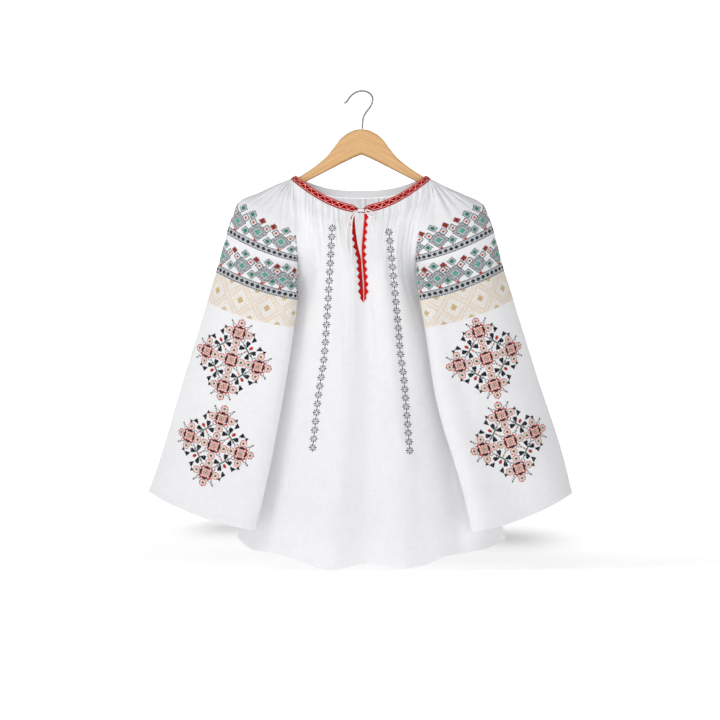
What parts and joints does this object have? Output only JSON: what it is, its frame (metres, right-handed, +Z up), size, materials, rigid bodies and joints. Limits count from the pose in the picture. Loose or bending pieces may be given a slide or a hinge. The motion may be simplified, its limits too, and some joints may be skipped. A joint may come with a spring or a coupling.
{
  "type": "romanian ie blouse on a wooden hanger",
  "caption": "Loose raglan-sleeved blouse gathered into a neckband with a tied front slit, hanging flared on a wooden hanger with a wire hook.",
  "frame": {"origin": "the inside top of the hanger's hook, where a rail carries it", "axes": "+X to the viewer's right along the hanger, +Y from the blouse's front to its back, +Z up"},
  "size_m": [0.6979, 0.1283, 0.7876],
  "materials": {
    "linen": "plain-woven white linen and cotton, matte",
    "red_trim": "red stitched trim",
    "tie_cord": "white twisted cotton cord",
    "hanger_wood": "pale beech, satin varnish",
    "hook_steel": "polished steel wire"
  },
  "bodies": {
    "root": {"front": "linen", "back": "linen", "sleeve_left": "linen", "sleeve_right": "linen", "neckband": "red_trim", "slit_trim_left": "red_trim", "slit_trim_right": "red_trim", "tie_knot": "tie_cord", "tie_loop": "tie_cord", "tie_strand_outer": "tie_cord", "tie_strand_inner": "tie_cord", "hanger": "hanger_wood", "hook": "hook_steel"}
  },
  "joints": []
}
